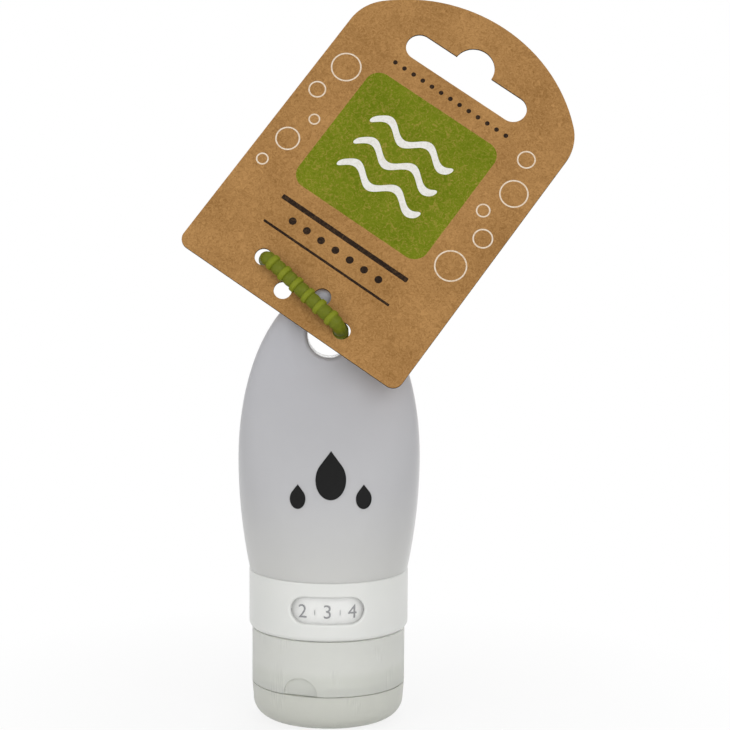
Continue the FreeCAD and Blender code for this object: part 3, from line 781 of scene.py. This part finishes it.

# Ink lies on the front only, and thins out over the palest fibres; cut edges are painted darker as shade
edge_limit = 0.5
normal = add_node(tree, "ShaderNodeTexCoord", {}).outputs["Normal"]
facing = add_node(
    tree, "ShaderNodeVectorMath",
    {"operation": "DOT_PRODUCT", 0: normal, 1: tag_face}).outputs["Value"]
front = add_node(
    tree, "ShaderNodeMath", {"operation": "GREATER_THAN", 0: facing, 1: edge_limit}).outputs[0]
flat_side = add_node(tree, "ShaderNodeMath", {"operation": "ABSOLUTE", 0: facing}).outputs[0]
painted_shade_edge = add_node(
    tree, "ShaderNodeMath", {"operation": "LESS_THAN", 0: flat_side, 1: edge_limit}).outputs[0]
coloured = kraft
for mask, ink, worn_ink, cover, thin_cover in (
        (panel, "#5c6d00", "#7a8716", 0.97, 0.62),
        (either(tree, waves), "#efedea", "#e4e1da", 0.97, 0.85),
        (either(tree, rings), "#f0e3d2", "#e2cfb6", 0.9, 0.65),
        (either(tree, dark_marks), "#120b0a", "#2b211b", 0.98, 0.9)):
    print_colour = add_node(
        tree, "ShaderNodeMix",
        {"data_type": "RGBA", 0: spread, 6: linear(ink), 7: linear(worn_ink)}).outputs[2]
    rubbed = add_node(
        tree, "ShaderNodeMapRange",
        {"Value": fibres, "From Min": 0.5, "From Max": 0.65,
         "To Min": cover, "To Max": thin_cover}).outputs["Result"]
    covered = add_node(
        tree, "ShaderNodeMath", {"operation": "MULTIPLY", 0: mask, 1: rubbed}).outputs[0]
    shown = add_node(
        tree, "ShaderNodeMath", {"operation": "MULTIPLY", 0: covered, 1: front}).outputs[0]
    coloured = add_node(
        tree, "ShaderNodeMix",
        {"data_type": "RGBA", 0: shown, 6: coloured, 7: print_colour}).outputs[2]
# painted shade: dark brown on the card's cut edges
coloured = add_node(
    tree, "ShaderNodeMix",
    {"data_type": "RGBA", 0: painted_shade_edge, 6: coloured, 7: linear("#3d2c18")}).outputs[2]
felt_depth = 0.05
felt = add_node(
    tree, "ShaderNodeBump", {"Strength": 0.25, "Distance": felt_depth * mm, "Height": fibres})
finish_in(nodes["hang_tag"], card_finish, {
    "Base Color": coloured, "Normal": felt.outputs["Normal"], "Roughness": 0.82,
    "Specular IOR Level": 0.12})

# Beaded tie: the strand that holds the tag, threaded through its two outer holes and the
# bottle's loop, and pulled through its own eye behind the card.
# Green silicone, moulded in one piece with ribs that catch in the eye.
strand_radius = 1.5
rib_radius = 1.95
rib_half_width = 0.7
strand_swell = 0.2
rib_pitch = 3.7
tip_length = 4.0
tip_radius = 0.55
plain_tail = 13.0
plain_stem = 4.0
plain_bend = (11.0, 15.0)
strand_points = 24
ring_spacing = 0.16
eye_radius = 2.7
eye_wall = 0.85
eye_stretch = 1.6
eye = (-8.0, 17.95, -12.5)
front_middle = (0.0, 6.5, 2.75)


def on_tag(point):
    # Point given across, up and out from the back of the card, in millimetres
    across, along, out = point
    return tag_foot + tag_across * across + tag_along * along + tag_face * out


# From the eye to the first hole, along the card's front, back through the last hole and the
# bottle's loop, and through the eye to the tip
to_first_hole = ((-9.0, 15.7, -10.3), (-10.6, 12.2, -6.7), (-11.9, 8.9, -3.0), (-11.76, 8.36, -0.2))
along_front = (
    (-11.1, 8.26, 2.7), (-8.5, 7.85, 2.75), front_middle, (8.5, 5.15, 2.75), (11.1, 4.74, 2.7))
through_loop = (
    (11.76, 4.64, -0.2), (11.3, 5.3, -3.1), (11.19, 5.49, -7.1), (11.19, 5.49, -11.0),
    (11.19, 5.49, -14.1), (8.0, 7.55, -13.8))
tail = ((-19.7, 25.55, -11.5), (-22.6, 27.45, -11.3))
route = (*to_first_hole, *along_front, *through_loop, eye, *tail)
line = bpy.data.curves.new("tie_line", "CURVE")
line.dimensions = "3D"
spline = line.splines.new("NURBS")
spline.points.add(len(route) - 1)
for point, stop in zip(spline.points, route):
    point.co = (*(on_tag(stop) * mm), 1.0)
spline.order_u = 3
spline.use_endpoint_u = True
spline.resolution_u = 24
line_object = bpy.data.objects.new("tie_line", line)
bpy.context.scene.collection.objects.link(line_object)
traced = bpy.data.meshes.new_from_object(line_object)
path = np.array([vertex.co for vertex in traced.vertices]) / mm
bpy.data.objects.remove(line_object)
bpy.data.meshes.remove(traced)
run = np.concatenate([[0], np.cumsum(np.linalg.norm(np.diff(path, axis=0), axis=1))])
even = np.arange(0, run[-1], ring_spacing)
path = np.stack([np.interp(even, run, path[:, axis]) for axis in range(3)], axis=1)
middle_run = even[np.argmin(np.linalg.norm(path - np.array(on_tag(front_middle)), axis=1))]

# Ribs stand one pitch apart, with the middle of the card's front halfway between two of them, and
# the strand swells a little between ribs; the stem, the sharp bends and the tail are plain
strand_turns = np.linspace(0, 2 * math.pi, strand_points, endpoint=False)
tie_rows = []
rib_shares = []
across = tag_along
for index, centre in enumerate(path):
    ahead = Vector(path[min(index + 1, len(path) - 1)] - path[max(index - 1, 0)]).normalized()
    across = (across - ahead * across.dot(ahead)).normalized()
    beside = ahead.cross(across)
    offset = (even[index] - middle_run) % rib_pitch - rib_pitch / 2
    left = run[-1] - even[index]
    rib = max(0.0, 1 - (abs(offset) / rib_half_width) ** 4) ** 0.5
    in_bend = plain_bend[0] < abs(even[index] - middle_run) < plain_bend[1]
    from_middle = (rib_pitch / 2 - abs(offset)) / (rib_pitch / 2 - rib_half_width)
    swell = strand_swell * max(0.0, 1 - from_middle ** 2)
    if left < plain_tail or even[index] < plain_stem or in_bend:
        rib = 0.0
        swell = 0.0
    radius = strand_radius + max(swell, (rib_radius - strand_radius) * rib)
    if left < tip_length:
        radius = tip_radius + (strand_radius - tip_radius) * left / tip_length
    tie_rows.append([
        Vector(centre) + (across * math.cos(turn) + beside * math.sin(turn)) * radius
        for turn in strand_turns])
    rib_shares.append(rib)
strand = skin("tie_strand", [[path[0]] * strand_points] + tie_rows + [[path[-1]] * strand_points])
rib_layer = strand.data.attributes.new("rib", "FLOAT", "POINT")
nearest_ring = [
    np.argmin(np.linalg.norm(path - np.array(vertex.co) / mm, axis=1))
    for vertex in strand.data.vertices]
rib_layer.data.foreach_set("value", np.array(rib_shares, np.float32)[nearest_ring])
bpy.ops.object.shade_smooth_by_angle(angle=math.radians(50))

# The eye: a ring round the strand, drawn out along it
pull = on_tag(tail[0]) - on_tag(eye)
bpy.ops.object.select_all(action="DESELECT")
bpy.ops.mesh.primitive_torus_add(
    major_segments=48, minor_segments=20, major_radius=eye_radius * mm, minor_radius=eye_wall * mm,
    rotation=pull.to_track_quat("Z", "Y").to_euler(), location=on_tag(eye) * mm)
eye_ring = bpy.context.object
eye_ring.scale = (1, 1, eye_stretch)
bpy.ops.object.transform_apply(location=True, rotation=True, scale=True)
bpy.ops.object.shade_smooth()
tie = join_pieces("beaded_tie", [strand, eye_ring])

# Green silicone: the ribs are painted paler as a highlight, and a dusty bloom lies over both
bloom_size = 1.2
scatter_depth = 0.8
tie_finish, tree, place = new_material("green_moulded_silicone")
rib_highlight_share = add_node(tree, "ShaderNodeAttribute", {"attribute_name": "rib"}).outputs["Fac"]
bloom = add_node(
    tree, "ShaderNodeTexNoise", {"Vector": place, "Scale": 1 / (bloom_size * mm), "Detail": 3.0})
# painted highlight: the ribs are a paler green than the strand
green = add_node(
    tree, "ShaderNodeMix",
    {"data_type": "RGBA", 0: rib_highlight_share, 6: linear("#656d0a"), 7: linear("#7a8212")})
dust = add_node(
    tree, "ShaderNodeMapRange",
    {"Value": bloom.outputs["Fac"], "From Min": 0.45, "From Max": 0.8, "To Max": 0.15})
tint = add_node(
    tree, "ShaderNodeMix",
    {"data_type": "RGBA", 0: dust.outputs["Result"], 6: green.outputs[2], 7: linear("#96983c")})
finish_in(tie, tie_finish, {
    "Base Color": tint.outputs[2], "Roughness": 0.52, "IOR": 1.41, "Specular IOR Level": 0.3,
    "Subsurface Weight": 0.1, "Subsurface Radius": (1.0, 1.0, 0.4),
    "Subsurface Scale": scatter_depth * mm})
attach(tie, "tag")
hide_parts("tag_tie")

# Floor: a white studio sweep, which keeps the bottle's soft shadow and turns to plain white
# farther out.
floor_size = 6000
floor_drop = 0.2
shadow_start = 20
shadow_end = 110
least_white = 0.82


def seen_directly(tree):
    # 1 for rays that show the background itself, 0 for rays that only carry its light
    rays = add_node(tree, "ShaderNodeLightPath", {}).outputs
    mirrored = add_node(
        tree, "ShaderNodeMath",
        {"operation": "MAXIMUM", 0: rays["Is Glossy Ray"], 1: rays["Is Transmission Ray"]})
    return add_node(
        tree, "ShaderNodeMath",
        {"operation": "MAXIMUM", 0: rays["Is Camera Ray"], 1: mirrored.outputs[0]}).outputs[0]


bpy.ops.object.select_all(action="DESELECT")
bpy.ops.mesh.primitive_plane_add(size=floor_size * mm, location=(0, 0, -floor_drop * mm))
floor = bpy.context.object
floor.name = "floor"
sweep, tree, place = new_material("white_sweep")
away = add_node(tree, "ShaderNodeVectorMath", {"operation": "LENGTH", 0: place})
whiten = add_node(
    tree, "ShaderNodeMapRange",
    {"Value": away.outputs["Value"], "From Min": shadow_start * mm, "From Max": shadow_end * mm,
     "To Min": least_white, "To Max": 1.0})
shown = add_node(
    tree, "ShaderNodeMath",
    {"operation": "MULTIPLY", 0: seen_directly(tree), 1: whiten.outputs["Result"]})
paper = add_node(tree, "ShaderNodeBsdfDiffuse", {"Color": linear("#f4f4f4")})
white = add_node(tree, "ShaderNodeEmission", {"Strength": 1.0})
mixed = add_node(
    tree, "ShaderNodeMixShader", {0: shown.outputs[0], 1: paper.outputs[0], 2: white.outputs[0]})
add_node(tree, "ShaderNodeOutputMaterial", {"Surface": mixed.outputs[0]})
floor.data.materials.append(sweep)

# Studio light: a bright even room and three large soft boxes, two in front and one behind, which
# keep the shadows faint. Places and sizes are in metres, powers in watts.
room_light = 0.5
aim_height = 80
world = bpy.data.worlds.new("white_studio")
bpy.context.scene.world = world
world.use_nodes = True
tree = world.node_tree
tree.nodes.clear()
brightness = add_node(
    tree, "ShaderNodeMapRange",
    {"Value": seen_directly(tree), "To Min": room_light, "To Max": 1.0})
room = add_node(
    tree, "ShaderNodeBackground", {"Strength": brightness.outputs["Result"], "Color": (1, 1, 1, 1)})
add_node(tree, "ShaderNodeOutputWorld", {"Surface": room.outputs[0]})


def soft_box(name, location, size, power):
    # A square lamp that points at the middle of the object
    bpy.ops.object.light_add(type="AREA", location=location)
    lamp = bpy.context.object
    lamp.name = name
    lamp.data.size = size
    lamp.data.energy = power
    aim = Vector((0, 0, aim_height * mm)) - Vector(location)
    lamp.rotation_euler = aim.to_track_quat("-Z", "Y").to_euler()


soft_box("key_light", location=(0.42, -0.97, 0.45), size=0.8, power=4.2)
soft_box("fill_light", location=(-0.65, -0.8, 0.4), size=0.8, power=2.7)
soft_box("back_light", location=(0.2, 0.95, 0.6), size=0.9, power=4.0)

# Camera: the photograph's view, from about half a metre away and looking slightly down.
# Its angles, distance and lens are fitted to the outlines of bottle and tag.
pitch = math.radians(7.434)
roll = math.radians(0.362)
distance = 535.05
target = Vector((8.083, 0, 81.628))
back = Vector((0, -math.cos(pitch), math.sin(pitch)))
bpy.ops.object.camera_add(location=(target + back * distance) * mm)
camera = bpy.context.object
camera.rotation_mode = "ZYX"
camera.rotation_euler = (math.pi / 2 - pitch, 0, roll)
camera.data.sensor_width = 36
camera.data.lens = 115.51
bpy.context.scene.camera = camera
bpy.context.scene.view_settings.view_transform = "Standard"
